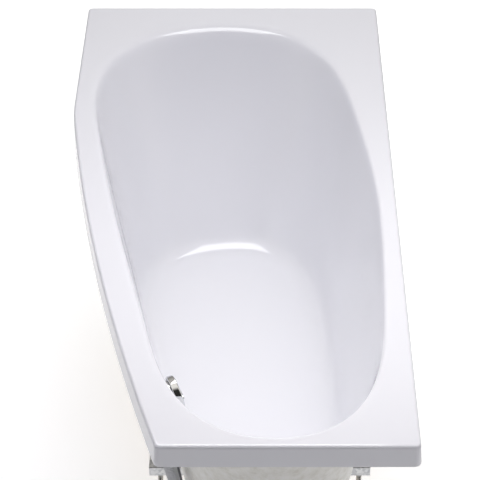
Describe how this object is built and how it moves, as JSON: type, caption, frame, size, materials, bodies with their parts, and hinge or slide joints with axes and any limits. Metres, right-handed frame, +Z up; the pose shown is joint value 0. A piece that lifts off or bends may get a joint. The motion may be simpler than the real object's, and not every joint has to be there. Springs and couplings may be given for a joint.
{
  "type": "corner bathtub",
  "caption": "Asymmetric space-saving acrylic bath that narrows towards the foot end, on levelling feet, with a rotary overflow that lifts a pop-up waste plug.",
  "frame": {"origin": "on the floor under the centre of the bath's overall box", "axes": "+X towards the long straight wall side, +Y towards the sloping head end, +Z up"},
  "size_m": [0.75, 1.6, 0.58],
  "materials": {
    "acrylic_white": "smooth glossy sanitary acrylic",
    "laminate": "sprayed glass-fibre laminate, rough",
    "particle_board": "particle board sealed with resin",
    "timber": "planed softwood strip sealed with resin",
    "rail_steel": "galvanised pressed steel",
    "zinc_screw": "zinc plated",
    "zinc_rod": "zinc plated threaded rod",
    "steel_pin": "stainless steel",
    "pad_plastic": "moulded plastic foot",
    "chrome": "polished chrome plate",
    "brass": "turned brass",
    "seal_rubber": "soft rubber",
    "pipe_plastic": "moulded polypropylene",
    "nut_plastic": "moulded polypropylene, grey",
    "hose_plastic": "corrugated polyethylene hose",
    "drum_plastic": "moulded acetal",
    "cable_sheath": "plastic sheath"
  },
  "bodies": {
    "bath": {"bath_shell": "acrylic_white", "shell_laminate": "laminate", "base_board": "particle_board", "leg_rail_head": "rail_steel", "leg_rail_foot": "rail_steel", "leg_rail_screws": "zinc_screw", "leg_rail_nuts": "zinc_screw", "centre_foot_plate": "rail_steel", "centre_plate_screws": "zinc_screw", "wall_bracket_1": "rail_steel", "wall_bracket_2": "rail_steel", "wall_bracket_3": "rail_steel", "wall_bracket_screws": "zinc_screw", "rim_batten_wall": "timber", "rim_batten_head": "timber", "rim_batten_foot": "timber", "rim_batten_front": "timber", "waste_seal_upper": "seal_rubber", "waste_flange": "chrome", "waste_seal_lower": "seal_rubber", "waste_body": "pipe_plastic", "lift_lever_pin": "steel_pin", "overflow_front_seal": "seal_rubber", "overflow_face_plate": "chrome", "overflow_plate_screws": "zinc_screw", "overflow_body": "pipe_plastic", "overflow_rear_seal": "seal_rubber", "overflow_hose": "hose_plastic", "hose_nut_upper": "nut_plastic", "hose_nut_lower": "nut_plastic", "control_cable": "cable_sheath", "trap_body": "pipe_plastic", "trap_inlet_washer": "seal_rubber", "trap_inlet_nut": "nut_plastic", "trap_outlet_washer": "seal_rubber", "trap_outlet_nut": "nut_plastic"},
    "knob": {"overflow_knob": "chrome", "overflow_spindle": "brass", "cable_drum": "drum_plastic"},
    "plug": {"plug_cap": "chrome", "plug_seal": "seal_rubber", "plug_stem": "brass"},
    "lever": {"lift_lever": "drum_plastic"},
    "foot_head_left": {"foot_rod_head_left": "zinc_rod", "foot_pad_head_left": "pad_plastic"},
    "foot_head_right": {"foot_rod_head_right": "zinc_rod", "foot_pad_head_right": "pad_plastic"},
    "foot_foot_left": {"foot_rod_foot_left": "zinc_rod", "foot_pad_foot_left": "pad_plastic"},
    "foot_foot_right": {"foot_rod_foot_right": "zinc_rod", "foot_pad_foot_right": "pad_plastic"},
    "foot_centre": {"foot_rod_centre": "zinc_rod", "foot_pad_centre": "pad_plastic"}
  },
  "joints": [
    {"name": "overflow_knob_turn", "type": "hinge", "parent": "bath", "child": "knob", "pos_m": [-0.11168, -0.58488, 0.51], "axis": [0.9207, 0.3536, 0.1648], "range_deg": [0, 90]},
    {"name": "plug_lift", "type": "slide", "parent": "bath", "child": "plug", "axis": [0, 0, 1], "range_m": [0, 0.011]},
    {"name": "lift_lever_turn", "type": "hinge", "parent": "bath", "child": "lever", "pos_m": [0.088, -0.56, 0.109], "axis": [0, 1, 0], "range_deg": [0, 29.6]},
    {"name": "foot_head_left_level", "type": "slide", "parent": "bath", "child": "foot_head_left", "axis": [0, 0, 1], "range_m": [-0.02, 0.02]},
    {"name": "foot_head_right_level", "type": "slide", "parent": "bath", "child": "foot_head_right", "axis": [0, 0, 1], "range_m": [-0.02, 0.02]},
    {"name": "foot_foot_left_level", "type": "slide", "parent": "bath", "child": "foot_foot_left", "axis": [0, 0, 1], "range_m": [-0.02, 0.02]},
    {"name": "foot_foot_right_level", "type": "slide", "parent": "bath", "child": "foot_foot_right", "axis": [0, 0, 1], "range_m": [-0.02, 0.02]},
    {"name": "foot_centre_level", "type": "slide", "parent": "bath", "child": "foot_centre", "axis": [0, 0, 1], "range_m": [-0.02, 0.02]}
  ],
  "couplings": [
    {"joint": "plug_lift", "follows": "overflow_knob_turn", "m_per_rad": 0.007},
    {"joint": "lift_lever_turn", "follows": "overflow_knob_turn", "ratio": 0.3278}
  ]
}
